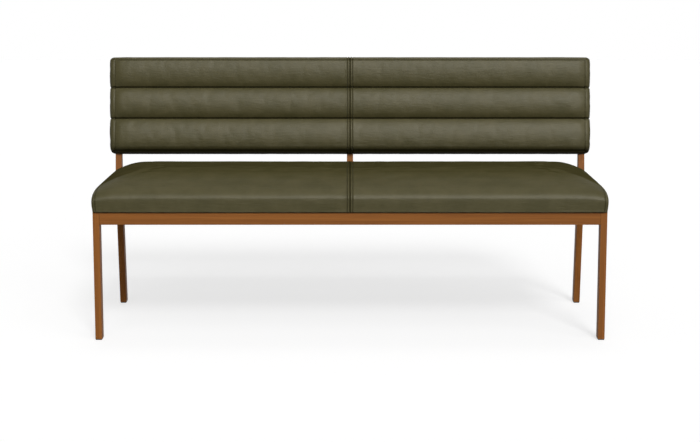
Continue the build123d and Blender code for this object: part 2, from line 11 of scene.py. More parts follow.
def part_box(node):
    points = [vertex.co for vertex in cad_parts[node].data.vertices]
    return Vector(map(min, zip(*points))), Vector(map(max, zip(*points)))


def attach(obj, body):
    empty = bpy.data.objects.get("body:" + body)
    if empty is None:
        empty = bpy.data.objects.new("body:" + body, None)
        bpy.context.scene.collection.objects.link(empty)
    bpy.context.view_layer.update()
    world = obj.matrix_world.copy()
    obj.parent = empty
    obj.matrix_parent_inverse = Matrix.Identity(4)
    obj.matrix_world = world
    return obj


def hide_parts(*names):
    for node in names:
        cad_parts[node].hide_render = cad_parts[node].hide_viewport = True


bl_info = {
    "name": "Upholstered Bench",
    "version": (1, 0, 0),
    "blender": (4, 5, 0),
    "location": "3D View > Sidebar > Bench",
    "description": "Dresses an upholstered bench in leather and walnut around its packed frame",
    "category": "Object",
}

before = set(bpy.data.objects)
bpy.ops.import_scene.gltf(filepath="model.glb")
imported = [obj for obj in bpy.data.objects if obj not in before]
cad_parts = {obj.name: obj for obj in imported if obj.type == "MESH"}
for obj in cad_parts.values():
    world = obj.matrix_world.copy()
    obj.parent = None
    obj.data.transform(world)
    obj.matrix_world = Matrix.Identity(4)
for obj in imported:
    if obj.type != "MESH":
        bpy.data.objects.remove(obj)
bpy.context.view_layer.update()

MM = 0.001

# Spacing of the points: on plain leather, along seams, and round the middle seam
STEP, FINE = 7 * MM, 0.75 * MM
MIDDLE = (0, 12 * MM, 0.7 * MM)
# No two rows of points lie closer than this
CLOSEST = 0.2 * MM

# The seat's corners are a little fuller than round, which would be 2
FULLNESS = 2.25
# Height over which the seat's ends belly out
BELLY_HEIGHT = 67.2 * MM
# How much of the painted seam shade the stitched rows take
ROW_SHADE = 0.55

# How far the middle seam and the other seams hold the settling leather beside them, and
# from the ends of the seat and the back to the seams held there
HOLD_MIDDLE, HOLD = 9 * MM, 8 * MM
HOLD_SEAT_END, HOLD_BACK_END = 10 * MM, 18 * MM
# Settling: edge of the copy's faces, frames, pressure, slack and share of the movement kept
VOXEL, FRAMES, PRESSURE, SLACK, KEPT = 6 * MM, 20, 4.0, 0.012, 0.45
# Leather over foam: firm to stretch and soft to bend
CLOTH = {
    "quality": 4, "mass": 0.25, "tension_stiffness": 12, "compression_stiffness": 12,
    "shear_stiffness": 6, "bending_stiffness": 0.6, "pin_stiffness": 5,
    "use_pressure": True, "uniform_pressure_force": PRESSURE, "shrink_min": -SLACK,
    "vertex_group_mass": "held",
}

# The lamps: azimuth from the front towards the right, elevation and width, in degrees
LAMPS = {
    "key": (12.5, 36, 14), "soft": (18, 36, 70), "fill": (-50, 25, 90),
    "top": (178, 74, 22), "sheen": (16, 28, 56),
}

# Places read from the frame, in metres
SEAT_LOW, SEAT_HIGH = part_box("seat_cover_right")
PANEL_LOW, PANEL_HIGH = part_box("back_rear_cover")
BACK_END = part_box("back_cover_right")[1].x
CLOTH_LOW, CLOTH_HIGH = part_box("seat_dust_cover")


def linear(hex_colour):
    """Linear colour of an sRGB hex value."""
    parts = [int(hex_colour[i : i + 2], 16) / 255 for i in (1, 3, 5)]
    return tuple(
        p / 12.92 if p <= 0.04045 else ((p + 0.055) / 1.055) ** 2.4 for p in parts
    )


def size(name, description, millimetres, high=3.0):
    """A length that a user may change, given in millimetres."""
    return bpy.props.FloatProperty(
        name=name, description=description, default=millimetres * MM, min=0.0, max=high,
        unit="LENGTH", subtype="DISTANCE", precision=4,
    )


def angle(name, description, degrees):
    """An angle that a user may change."""
    return bpy.props.FloatProperty(
        name=name, description=description, default=radians(degrees), subtype="ANGLE"
    )


def share(name, description, default, high=1.0):
    """A plain factor that a user may change."""
    return bpy.props.FloatProperty(
        name=name, description=description, default=default, min=0.0, max=high
    )


def colour(name, description, hex_colour):
    """A colour that a user may change, given as sRGB hex."""
    return bpy.props.FloatVectorProperty(
        name=name, description=description, default=linear(hex_colour),
        size=3, min=0.0, max=1.0, subtype="COLOR",
    )


class BENCH_PG_seat(bpy.types.PropertyGroup):
    """Sizes of the seat cushion."""

    bulge: size("Face bulge", "How far the front and rear faces belly out", 1.5)
    crown: size("Crown rise", "Rise of the middle of the seat over its level part", 2)
    corner: size("Corner round", "Radius of the upright corners", 9)
    side_roll: size("Side roll", "Depth of the rolled edge at the ends", 14)
    side_height: size("Side roll height", "Height of that roll", 6)
    side_fall: size("Side fall", "How far the top falls towards the ends", 38)
    side_reach: size("Side reach", "From the ends to the level top", 134)
    front_roll: size("Front roll", "Depth of the rolled front edge", 32)
    front_height: size("Front roll height", "Height of that roll", 19)
    front_fall: size("Front fall", "How far the top falls towards the front", 41)
    front_reach: size("Front reach", "From the front to the level top", 172)
    rear_roll: size("Rear roll", "Depth of the rolled rear edge", 34)
    rear_height: size("Rear roll height", "Height of that roll", 32)
    rear_fall: size("Rear fall", "How far the top falls towards the rear", 5.5)
    rear_reach: size("Rear reach", "From the rear to the level top", 164)
    side_bulge: size("End bulge", "How far the ends belly out", 2.6)
    lip: size("Lip", "How far the front stands out over the rail", 8)
    undercut: size("Undercut", "How far the front's lower edge draws back again", 3)
    lip_round: size("Lip round", "Radius of that edge", 2)
    hem: size("Hem", "Width of the leather turned under the deck", 25)
    hem_step: size("Hem step", "Depth of the opening inside the hem", 2)


class BENCH_PG_back(bpy.types.PropertyGroup):
    """Sizes of the channelled back."""

    rake: angle("Rake", "How far the back leans", 9)
    thickness: size("Thickness", "Depth of the back from its channels to its rear", 72)
    panel_margin: size("Panel margin", "From the back's edge to its rear panel", 5.3)
    bottom_channel: size("Bottom channel", "Height of the lowest channel", 114)
    middle_channel: size("Middle channel", "Height of the middle channel", 100)
    top_channel: size("Top channel", "Height of the top channel", 97)
    groove: size("Groove depth", "Depth of the seams between channels", 12)
    end_roll: size("End roll", "Radius of the rolled ends", 18)
    end_fall: size("End fall", "How far the channels fall towards the ends", 5)
    end_length: size("End fall length", "Length over which they fall", 50)
    bottom_roll: size("Bottom roll", "Radius of the lower front edge", 28)
    bottom_corner: size("Bottom corner", "Radius of the lower corners", 15)
    top_roll: size("Top roll", "Radius of the upper front edge", 8)
    top_corner: size("Top corner", "Radius of the upper corners", 12)
    edge_draw: size("Edge draw", "How far the edge seams draw the front in", 3)
    rear_round: size("Rear round", "Radius of the rear edges", 5)


class BENCH_PG_seams(bpy.types.PropertyGroup):
    """Sizes of the seams and their stitches."""

    reach: size("Seam half width", "From a seam's bottom to where it levels out", 1.7)
    depth: size("Seam depth", "How deep a plain seam is drawn in", 2.2)
    row: size("Topstitch row", "From the middle seam to each stitched row", 8.2)
    row_depth: size("Row depth", "How deep a stitched row is drawn in", 2.0)
    lift: size("Seam allowance", "Rise of the leather over the folded allowance", 0.9)
    end_seam: size("Back end seam", "From the back's ends to the seam of its front", 18)
    edge_seam: size("Back edge seam", "From the back's edges to that seam", 9)
    seat_seam: size("Seat end seam", "From the seat's ends to its end panels' seams", 10)
    notch: size("Notch", "Depth of a channel's seam round the ends", 2.0)
    draw: size("Draw", "How far a channel's seam pulls the leather in beside it", 2.5)
    draw_reach: size("Draw reach", "How far beside a seam the leather is pulled in", 9)
    stitch: size("Stitch length", "Length of one stitch", 3.4)
    gap: size("Stitch gap", "Space between two stitches", 1.0)
    thread: size("Thread", "Thickness of the thread", 0.7)


class BENCH_PG_leather(bpy.types.PropertyGroup):
    """Colours and grain of the leather."""

    main: colour("Leather", "Colour of the leather's raised grain", "#49442a")
    deep: colour("Deep tone", "Colour where the dye lies thicker", "#413d23")
    # The seam tone is painted shade, laid down in the seams and under the back's lower edge
    seam: colour("Seam tone", "Colour down in the seams", "#1c1a0c")
    thread: colour("Thread", "Colour of the sewing thread", "#3a3823")
    grain: size("Grain", "Width of one pebble of the grain", 2.2)
    mottle: size("Mottle", "Width of the cloudy tone", 55)
    crease: size("Crease", "Spacing of the fine creases", 14)
    wrinkle: size("Wrinkle", "Spacing of the drawn wrinkles", 11)
    stretch: size("Wrinkle length", "Length of a drawn wrinkle along the bench", 60)
    roughness: share("Roughness", "How dull the finish is", 0.46)
    shine: share("Shine", "How much the finish reflects", 0.13)
    fade: share("Sheen fade", "How far a face turns away before its sheen is gone", 0.88)


class BENCH_PG_wood(bpy.types.PropertyGroup):
    """Colours and grain of the wood."""

    walnut: colour("Walnut", "Colour of the walnut", "#925c2a")
    walnut_dark: colour("Late wood", "Colour of the walnut's darker lines", "#7a4a20")
    beech: colour("Beech", "Colour of the beech", "#c49a6c")
    plywood: colour("Plywood", "Colour of the plywood", "#c9a878")
    hardboard: colour("Hardboard", "Colour of the hardboard", "#6b4a32")
    line: size("Grain line", "Spacing of the lines across the grain", 3.2)
    run: size("Grain run", "Length of a line along the grain", 220)


class BENCH_PG_stage(bpy.types.PropertyGroup):
    """The floor, light and camera."""

    floor: size("Floor", "Half the width of the floor", 14000, high=40.0)
    floor_colour: colour("Floor colour", "Colour of the floor", "#f4f4f4")
    bounce: colour("Bounce", "Colour of the light that the floor throws back up", "#808080")
    shadow: share("Shadow", "How much of the floor's own shading the camera sees", 0.44)
    glow: share("Glow", "Brightness of the rest of the floor", 1.21, high=3.0)
    camera_back: size("Camera back", "From the seat's front to the camera", 4890, high=9.0)
    camera_up: size("Camera height", "From the floor to the camera", 1123)
    camera_dip: angle("Camera dip", "How far the camera looks down", 8.86)
    lens: bpy.props.FloatProperty(
        name="Lens", description="Focal length in millimetres", default=85.99
    )
    key: share("Key light", "Strength of the main light", 1.75, high=20.0)
    soft: share("Soft light", "Strength of the broad light round it", 1.35, high=20.0)
    sheen: share("Sheen light", "Strength of the strip light seen in the sheen", 4.5, high=20.0)
    top: share("Top light", "Strength of the light from overhead", 0.3, high=20.0)
    fill: share("Fill light", "Strength of the light from the other side", 0.1, high=20.0)
    sky: share("Sky", "Strength of the light from all round", 0.14, high=5.0)


GROUPS = {
    "bench_seat": BENCH_PG_seat,
    "bench_back": BENCH_PG_back,
    "bench_seams": BENCH_PG_seams,
    "bench_leather": BENCH_PG_leather,
    "bench_wood": BENCH_PG_wood,
    "bench_stage": BENCH_PG_stage,
}


# Forms shared by the soft pieces


def round_off(distance, radius):
    """How far a rounded edge has dropped, at a distance in from its face."""
    reach = np.clip(radius - distance, 0, radius)
    return radius - np.sqrt(np.maximum(radius**2 - reach**2, 0))


def crown_drop(distance, roll, fall, length):
    """Drop of a soft edge: a round roll, then a fall that eases into the level."""
    left = np.clip(1 - np.maximum(distance - roll, 0) / length, 0, 1)
    return round_off(distance, roll) + fall * left**2


def soft_edge(distance, roll, height, fall, reach):
    """Drop of a stuffed edge: a flattened roll that runs on into a long fall."""
    rolled = height * round_off(distance, roll) / roll
    return rolled + fall * np.clip(1 - distance / reach, 0, 1) ** 2


def spread(low, high, step, dense=()):
    """Places from low to high at a step, closer together round each dense place."""
    places = [np.linspace(low, high, max(2, round((high - low) / step) + 1))]
    for middle, reach, fine in dense:
        count = round(reach / fine)
        near = middle + np.arange(-count, count + 1) * fine
        places[0] = places[0][np.abs(places[0] - middle) > reach + fine / 2]
        places.append(near[(near > low + fine / 4) & (near < high - fine / 4)])
    merged = np.unique(np.concatenate(places + [[low, high]]))
    merged = merged[np.concatenate([[True], np.diff(merged) > CLOSEST])]
    merged[-1] = high
    return merged


def mirrored(right):
    """Places on both sides of the middle, from those on its right."""
    return np.concatenate([-right[:0:-1], right])


def roll_steps(radius, low, high, count):
    """Points of a round edge between two angles: distance in from its face, and drop."""
    turn = np.radians(np.linspace(low, high, count))
    return radius * (1 - np.cos(turn)), radius * (1 - np.sin(turn))


def blend_patch(low_run, high_run, first_run, last_run):
    """Grid of points inside four edges that meet at their corners."""
    u = np.linspace(0, 1, len(low_run))[:, None, None]
    v = np.linspace(0, 1, len(first_run))[None, :, None]
    low, high = low_run[:, None], high_run[:, None]
    first, last = first_run[None], last_run[None]
    corners = (
        (1 - u) * (1 - v) * low_run[0] + u * (1 - v) * low_run[-1]
        + (1 - u) * v * high_run[0] + u * v * high_run[-1]
    )
    return (1 - v) * low + v * high + (1 - u) * first + u * last - corners


def add_object(name, data):
    """Puts a new object into the scene."""
    made = bpy.data.objects.new(name, data)
    bpy.context.scene.collection.objects.link(made)
    return made


def closed_mesh(name, grids):
    """One closed mesh from grids of points whose edges lie on each other."""
    mesh = bmesh.new()
    for grid in grids:
        rows, columns = grid.shape[:2]
        made = [[mesh.verts.new(grid[i, j]) for j in range(columns)] for i in range(rows)]
        for i in range(rows - 1):
            for j in range(columns - 1):
                mesh.faces.new((made[i][j], made[i + 1][j], made[i + 1][j + 1], made[i][j + 1]))
    bmesh.ops.remove_doubles(mesh, verts=mesh.verts, dist=1e-6)
    bmesh.ops.dissolve_degenerate(mesh, dist=1e-7, edges=mesh.edges)
    bmesh.ops.recalc_face_normals(mesh, faces=mesh.faces)
    if any(len(edge.link_faces) != 2 for edge in mesh.edges):
        raise RuntimeError(name + " is not closed")
    data = bpy.data.meshes.new(name)
    mesh.to_mesh(data)
    mesh.free()
    data.shade_smooth()
    return add_object(name, data)


def thin_mesh(name, first, second):
    """One closed mesh from two grids and the narrow faces between their edges."""
    sides = []
    for index in (0, -1):
        sides.append(np.stack([first[index], second[index]], 1))
        sides.append(np.stack([first[:, index], second[:, index]], 1))
    return closed_mesh(name, [first, second, *sides])


def points_of(piece):
    """The places and normals of a mesh's points, as arrays."""
    points = piece.data.vertices
    places, normals = np.empty((2, len(points) * 3))
    points.foreach_get("co", places)
    points.foreach_get("normal", normals)
    return places.reshape(-1, 3), normals.reshape(-1, 3)


def move_points(piece, places):
    """Sets a mesh's points."""
    piece.data.vertices.foreach_set("co", places.astype(np.float32).ravel())
    piece.data.update()


def line_cut(distance, reach):
    """Cross-section of a drawn-in seam: 1 at its bottom, easing to 0 on both sides."""
    return np.exp(-((distance / reach) ** 2))


def soft_step(value, edge, width):
    """0 before an edge and 1 after it, easing over a width."""
    along = np.clip((value - edge) / width + 0.5, 0, 1)
    return along * along * (3 - 2 * along)


def middle_seam(x, seams):
    """Height of the leather across the middle seam, with its two stitched rows."""
    off = np.abs(x)
    lift = seams.lift * (1 - soft_step(off, seams.row + 2 * seams.reach, 4 * seams.reach))
    row = seams.row_depth * line_cut(off - seams.row, seams.reach)
    return lift - seams.depth * line_cut(off, seams.reach) - row


def middle_painted_shade(x, seams):
    """How far the middle seam and its rows take the painted seam shade."""
    return line_cut(x, seams.reach) + ROW_SHADE * line_cut(np.abs(x) - seams.row, seams.reach)


def uneven(places, spacing, seed):
    """Smooth random heights from -1 to 1, with a spacing in metres."""
    offset = Vector((seed * 17.3, seed * 5.1, seed * 9.7))
    return np.array([noise.noise(Vector(p) / spacing + offset) for p in places])


def settle(piece, held, cap):
    """Lets cloth under pressure settle a copy of a cushion, then moves the cushion the same way.

    held gives how firmly each place is held, from 0 to 1. The copy is a voxel mesh, which keeps
    no seam, so only its soft swell and wrinkles come across. No point moves past the cap, and
    only a share of the movement is kept."""
    scene = bpy.context.scene
    copy = add_object("settling", piece.data.copy())
    remesh = copy.modifiers.new("remesh", "REMESH")
    remesh.mode, remesh.voxel_size = "VOXEL", VOXEL
    graph = bpy.context.evaluated_depsgraph_get()
    voxels = bpy.data.meshes.new_from_object(copy.evaluated_get(graph))
    copy.modifiers.clear()
    copy.data = voxels
    before, _ = points_of(copy)
    group = copy.vertex_groups.new(name="held")
    weights = held(before)
    for index in np.nonzero(weights > 0.01)[0]:
        group.add([int(index)], float(weights[index]), "REPLACE")
    cloth = copy.modifiers.new("cloth", "CLOTH")
    for name, value in CLOTH.items():
        setattr(cloth.settings, name, value)
    cloth.settings.effector_weights.gravity = 0
    cloth.point_cache.frame_start, cloth.point_cache.frame_end = 1, FRAMES
    scene.frame_start, scene.frame_end = 1, FRAMES
    for step in range(1, FRAMES + 1):
        scene.frame_set(step)
    graph = bpy.context.evaluated_depsgraph_get()
    after, _ = points_of(copy.evaluated_get(graph))
    moved = after - before
    scene.frame_set(1)
    free = (1 - weights)[:, None]
    moved = (moved - (moved * free).sum(0) / free.sum()) * free
    far = np.linalg.norm(moved, axis=1)[:, None]
    moved *= KEPT * np.minimum(1, cap / np.maximum(far, 1e-9))
    tree = KDTree(len(before))
    for index, place in enumerate(before):
        tree.insert(place, index)
    tree.balance()
    places, _ = points_of(piece)
    for index, place in enumerate(places):
        near = tree.find_n(place, 4)
        weight = np.array([1 / (found[2] + MM) for found in near])
        shift = moved[[found[1] for found in near]]
        places[index] = place + (shift * weight[:, None]).sum(0) / weight.sum()
    move_points(piece, places)
    bpy.data.objects.remove(copy)


def mark_painted_shade(piece, depth):
    """Keeps how much painted shade each point takes, in the seams and under the back's edge."""
    attribute = piece.data.attributes.new("seam_depth", "FLOAT", "POINT")
    attribute.data.foreach_set("value", np.clip(depth, 0, 1).astype(np.float32))


def both(*names):
    """Names of pieces that come as a left and a right one."""
    return [f"{name}_{side}" for name in names for side in ("left", "right")]


def finish_piece(piece, nodes):
    """Rides a piece on the frame and hides the CAD nodes that it stands for."""
    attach(piece, "root")
    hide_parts(*nodes)


def upholster(cushion, held, details, waves, cap):
    """Settles a cushion, draws its seams in, marks its painted shade and covers it in leather."""
    settle(cushion, held, cap)
    places, normals = points_of(cushion)
    height, depth = details
    move_points(cushion, places + normals * (height + waves)[:, None])
    mark_painted_shade(cushion, depth)
    cushion.data.materials.append(leather(bpy.context.scene))


# Seat


def seat_distance(x):
    """Distance from a place along the seat to its nearer end."""
    return SEAT_HIGH.x - np.abs(x)


def edges_of(seat):
    """Roll, height, fall and reach of the seat's sides, front and rear."""
    return [
        [getattr(seat, f"{side}_{name}") for name in ("roll", "height", "fall", "reach")]
        for side in ("side", "front", "rear")
    ]


def top_height(side, drop):
    """Height of the seat's top from its two drops."""
    return SEAT_HIGH.z - (side**FULLNESS + drop**FULLNESS) ** (1 / FULLNESS)


def seat_outline(x, along, seat):
    """Place and height of the seat's top at a share across it, and its front and rear."""
    distance = seat_distance(x)
    side_edge, front_edge, rear_edge = edges_of(seat)
    corner = round_off(distance, seat.corner)
    front = SEAT_LOW.y + seat.bulge - seat.lip + corner
    rear = SEAT_HIGH.y - seat.bulge - corner
    y = front + along * (rear - front)
    drop = soft_edge(y - front, *front_edge) + soft_edge(rear - y, *rear_edge)
    level_low, level_high = front + seat.front_reach, rear - seat.rear_reach
    off = 2 * (y - (level_low + level_high) / 2) / (level_high - level_low)
    drop = drop + seat.crown * np.clip(np.abs(off), 0, 1) ** 2
    return y, top_height(soft_edge(distance, *side_edge), drop), front, rear


def seat_grids(seat, seams):
    """The six faces of the seat cushion, as grids of points."""
    half = SEAT_HIGH.x
    depth = SEAT_HIGH.y - SEAT_LOW.y - 2 * seat.bulge + seat.lip
    side_edge, *cross_edges = edges_of(seat)
    rolls = roll_steps(seat.side_roll, 0, 90, 14)[0][1:]
    ends = [(half - seams.seat_seam, 3 * MM, FINE), (half - seat.hem, 1.5 * MM, FINE)]
    right = spread(0, half - rolls[0] / 2, STEP, [MIDDLE, *ends])
    xs = mirrored(np.unique(np.concatenate([right, half - rolls[:4], [half]])))
    front_in, _ = roll_steps(seat.front_roll, 45, 90, 8)
    rear_in, _ = roll_steps(seat.rear_roll, 45, 90, 9)
    level = spread(seat.front_roll + 3 * MM, depth - seat.rear_roll - 3 * MM, STEP)
    along = np.concatenate([front_in, level, depth - rear_in[::-1]]) / depth
    # Shares of the walls' height, closer together at their rounded foot
    wall = np.concatenate([np.linspace(0, 0.06, 5), np.linspace(0.1, 1, 12)])

    def wall_run(x, rear_side):
        edge = cross_edges[rear_side]
        side = soft_edge(seat_distance(x), *side_edge)
        _, _, front, rear = seat_outline(x, 0.0, seat)
        tall = top_height(side, edge[1] + edge[2] + seat.crown) - SEAT_LOW.z
        z = SEAT_LOW.z + wall * tall
        above = z - SEAT_LOW.z
        inward = seat.undercut * (1 - soft_step(above, tall / 2, tall))
        if rear_side:
            inward = -seat.bulge * 4 * wall * (1 - wall)
        inward = inward + round_off(above, seat.lip_round)
        turn_in, _ = roll_steps(edge[0], 0, 45, 8)
        z_roll = top_height(side, soft_edge(turn_in, *edge) + seat.crown)
        inward = np.concatenate([inward, turn_in[1:]])
        z = np.concatenate([z, z_roll[1:]])
        y = rear - inward if rear_side else front + inward
        return np.column_stack([np.full_like(z, x), y, z])

    def top_run(x):
        y, z, _, _ = seat_outline(x, along, seat)
        return np.column_stack([np.full_like(y, x), y, z])

    def base_run(x):
        _, _, front, rear = seat_outline(x, 0.0, seat)
        places = front + (along - along[0]) / (along[-1] - along[0]) * (rear - front)
        inner = (places > front + seat.hem) & (places < rear - seat.hem)
        lifted = SEAT_LOW.z + seat.hem_step * (inner & (seat_distance(x) > seat.hem))
        return np.column_stack([np.full_like(places, x), places, lifted])

    tops = np.stack([top_run(x) for x in xs])
    bases = np.stack([base_run(x) for x in xs])
    walls = [np.stack([wall_run(x, rear_side) for x in xs]) for rear_side in (False, True)]
    # The walls' own edges close the top and the base
    for column, grid in zip((0, -1), walls):
        tops[:, column], bases[:, column] = grid[:, -1], grid[:, 0]
    grids = [bases, tops, *walls]
    return grids + [blend_patch(*(grid[end] for grid in grids)) for end in (0, -1)]


def belly_out(places, seat):
    """Moves the places near the seat's ends out into their soft belly."""
    x, _, z = places.T
    share = (z - SEAT_LOW.z) / BELLY_HEIGHT
    out = seat.side_bulge * np.clip(4 * share * (1 - share), 0, 1)
    # The belly dies out over twice the depth of the rolled edge
    near = 1 - soft_step(seat_distance(x), 14 * MM, 28 * MM)
    return places + np.column_stack([np.sign(x) * out * near, 0 * x, 0 * x])


def seat_details(places, seams):
    """Height of the seat's seams over its plain form, and the shade painted into them."""
    x, _, z = places.T
    # No seam is drawn on the underside
    upper = soft_step(z, SEAT_LOW.z + MM, 2 * MM)
    end_cut = line_cut(seat_distance(x) - seams.seat_seam, seams.reach)
    height = (middle_seam(x, seams) - 0.6 * seams.depth * end_cut) * upper
    # Painted shade down in the middle seam, its stitched rows and the end seams
    return height, (middle_painted_shade(x, seams) + 0.5 * end_cut) * upper


class BENCH_OT_seat(bpy.types.Operator):
    """Make the crowned seat cushion with its seams"""

    bl_idname = "bench.seat"
    bl_label = "Seat Cushion"

    def execute(self, context):
        """Builds the cushion, lets it settle and sews its seams."""
        seat, seams = context.scene.bench_seat, context.scene.bench_seams
        cushion = closed_mesh("seat_cushion", seat_grids(seat, seams))
        plain, _ = points_of(cushion)
        move_points(cushion, belly_out(plain, seat))

        def held(places):
            x, _, z = places.T
            low = 1 - soft_step(z, SEAT_LOW.z + 12 * MM, 20 * MM)
            seam = line_cut(x, HOLD_MIDDLE) + line_cut(seat_distance(x) - HOLD_SEAT_END, HOLD)
            return np.clip(low + seam, 0, 1)

        waves = 0.35 * MM * uneven(plain, 45 * MM, 1) + 0.12 * MM * uneven(plain, 14 * MM, 2)
        waves = waves * soft_step(plain[:, 2], SEAT_LOW.z + 4 * MM, 6 * MM)
        details = seat_details(plain, seams)
        upholster(cushion, held, details, waves, cap=2.4 * MM)
        nodes = (*both("seat_cover"), "seat_wadding", "seat_foam")
        finish_piece(cushion, nodes)
        return {"FINISHED"}


# Back


def back_levels(back):
    """Heights of the two grooves between the channels, and of the back's top."""
    return np.cumsum([back.bottom_channel, back.middle_channel, back.top_channel])


def back_frame(back):
    """Corner of the back's own directions, and its depth and rise directions."""
    c, s = cos(back.rake), sin(back.rake)
    top = back_levels(back)[2] - back.panel_margin
    inner = back.thickness - (PANEL_HIGH.y - PANEL_LOW.y - (top - back.panel_margin) * s) / c
    y = PANEL_HIGH.y - back.thickness * c - top * s
    z = PANEL_HIGH.z + inner * s - top * c
    return Vector((0, y, z)), Vector((0, c, -s)), Vector((0, s, c))


def back_matrix(back):
    """Turns the back's own directions into the frame's."""
    origin, rearward, upward = back_frame(back)
    columns = ((1, 0, 0, 0), (*rearward, 0), (*upward, 0), (*origin, 1))
    return Matrix(columns).transposed()


def arc_depth(s, s1, d1, s3, d3, crest):
    """Depth along the circle through two points and a crest halfway between them."""
    s2, d2 = (s1 + s3) / 2, crest
    a = np.array([[2 * (s2 - s1), 2 * (d2 - d1)], [2 * (s3 - s1), 2 * (d3 - d1)]])
    b = np.array([s2**2 + d2**2 - s1**2 - d1**2, s3**2 + d3**2 - s1**2 - d1**2])
    s0, d0 = np.linalg.solve(a, b)
    radius = np.hypot(s1 - s0, d1 - d0)
    return d0 - np.sqrt(np.maximum(radius**2 - (s - s0) ** 2, 0))


def back_grids(back, seams):
    """The six faces of the back, as grids of points in its own directions."""
    lower, upper, rise = back_levels(back)
    half = BACK_END
    rolls, _ = roll_steps(back.end_roll, 0, 90, 12)
    right = spread(0, half - rolls[6], STEP, [MIDDLE, (half - seams.end_seam, 3.5 * MM, FINE)])
    xs = mirrored(np.unique(np.concatenate([right, half - rolls[:6], [half]])))
    spots = [
        (lower, 5 * MM, FINE), (upper, 5 * MM, FINE),
        (seams.edge_seam + 10 * MM, 9 * MM, 1.2 * MM),
        (rise - seams.edge_seam - 2.5 * MM, 5 * MM, FINE),
    ]
    level = spread(0, rise, 6 * MM, spots)
    level = level[(level > back.bottom_roll) & (level < rise - back.top_roll)]
    # Rows beyond a rounded corner crowd together there instead of crossing
    crowd = 1e-3

    def section(x):
        distance = half - abs(x)
        front = crown_drop(distance, back.end_roll, back.end_fall, back.end_length)
        rear = back.thickness - round_off(distance, back.rear_round)
        low = round_off(distance, back.bottom_corner)
        high = rise - round_off(distance, back.top_corner)
        edge, groove = front + back.edge_draw, front + back.groove
        foot, head = low + back.bottom_roll, high - back.top_roll
        s = np.where(level < foot, foot + (level - back.bottom_roll) * crowd, level)
        s = np.where(level > head, head - (rise - back.top_roll - level) * crowd, s)
        stops = ((foot, edge), (lower, groove), (upper, groove), (head, edge))
        arcs = [arc_depth(s, *stops[i], *stops[i + 1], front) for i in range(3)]
        depth = np.where(s < lower, arcs[0], np.where(s < upper, arcs[1], arcs[2]))
        foot_in, foot_drop = (run[:-1] for run in roll_steps(back.bottom_roll, 45, 0, 8))
        head_in, head_drop = (run[1:] for run in roll_steps(back.top_roll, 0, 45, 6))
        front_run = np.column_stack([
            np.concatenate([edge + foot_in, depth, edge + head_in]),
            np.concatenate([low + foot_drop, s, high - head_drop]),
        ])
        r = back.rear_round
        slant = r * (1 - cos(pi / 4))
        rear_run = np.full_like(front_run, rear)
        rear_run[1:-1, 1] = np.linspace(low + r, high - r, len(front_run) - 2)
        rear_run[0], rear_run[-1] = (rear - slant, low + slant), (rear - slant, high - slant)

        def closing_run(roll, height, way, end):
            turn_in, turn_drop = roll_steps(roll, 45, 90, 5)
            flat = np.linspace(edge + roll, rear - r, 9)[1:]
            run = np.column_stack([
                np.concatenate([edge + turn_in, flat, [0]]),
                np.concatenate([height + way * turn_drop, np.full_like(flat, height), [0]]),
            ])
            run[0], run[-1] = front_run[end], rear_run[end]
            return run

        under = closing_run(back.bottom_roll, low, 1, 0)
        over = closing_run(back.top_roll, high, -1, -1)
        return front_run, rear_run, under, over

    def placed(runs):
        return np.stack(
            [np.column_stack([np.full(len(run), x), run]) for x, run in zip(xs, runs)]
        )

    grids = [placed(runs) for runs in zip(*[section(x) for x in xs])]
    return grids + [blend_patch(*(grid[end] for grid in grids)) for end in (0, -1)]


def back_details(places, back, seams):
    """Height of the back's seams over its plain form, and the shade painted at each point."""
    x, q, s = places.T
    lower, upper, rise = back_levels(back)
    distance = BACK_END - np.abs(x)
    # The front half, all but the rear, and the places between the seams round the front
    fore = 1 - soft_step(q, back.thickness * 0.5, 4 * MM)
    ahead = 1 - soft_step(q, back.thickness - 3 * MM, 4 * MM)
    low_seam, high_seam = seams.edge_seam, rise - seams.edge_seam
    over_low, over_high = soft_step(s, low_seam, MM), soft_step(s, high_seam, MM)
    in_height = over_low * (1 - over_high)
    in_width = soft_step(distance, seams.end_seam, MM)
    reach = seams.reach * 1.1

    def grooves(width):
        return np.maximum(line_cut(s - lower, width), line_cut(s - upper, width))

    def mitre(from_edge, part):
        # Runs slanting from the corner of the front's seams to the back's own corner
        slant = (distance / seams.end_seam - from_edge / seams.edge_seam) * seams.edge_seam
        return line_cut(slant, reach) * (1 - in_width) * part * fore

    # The seams round the front, and their slanting ends at the corners
    seam = np.maximum.reduce([
        0.5 * line_cut(distance - seams.end_seam, reach) * in_height * fore,
        line_cut(s - high_seam, reach) * in_width * fore,
        line_cut(s - low_seam, reach) * in_width * fore,
    ])
    mitres = np.maximum(mitre(rise - s, over_high), mitre(s, 1 - over_low))
    # The grooves between the channels, and their notches round the ends
    groove = grooves(1.4 * MM) * in_height * in_width * fore
    notch = grooves(2.4 * MM) * (1 - in_width) * ahead
    # The leather that the seams pull in beside them
    wide = seams.draw_reach
    pulled = line_cut(s - lower, wide) + line_cut(s - upper, wide)
    pulled = pulled + 0.8 * line_cut(distance - seams.end_seam, wide) * fore
    pulled = pulled + 0.6 * line_cut(s - low_seam, wide)
    pulled = pulled * (1 - soft_step(s, high_seam - 4 * MM, 8 * MM))
    pulled = np.minimum(pulled, 1) * soft_step(distance, 12 * MM, 12 * MM) * fore
    height = (
        middle_seam(x, seams) * ahead - 0.6 * seams.depth * (seam + mitres)
        - 1.6 * MM * groove - seams.notch * notch - seams.draw * pulled
    )
    # Painted shade under the back's lower edge
    under = 0.75 * (1 - soft_step(s, 21 * MM, 38 * MM)) * fore
    # Painted shade down in the seams, grooves and notches, and under the lower edge
    depth = 0.5 * seam + groove + 0.7 * (notch + mitres) + middle_painted_shade(x, seams) * ahead + under
    return height, depth


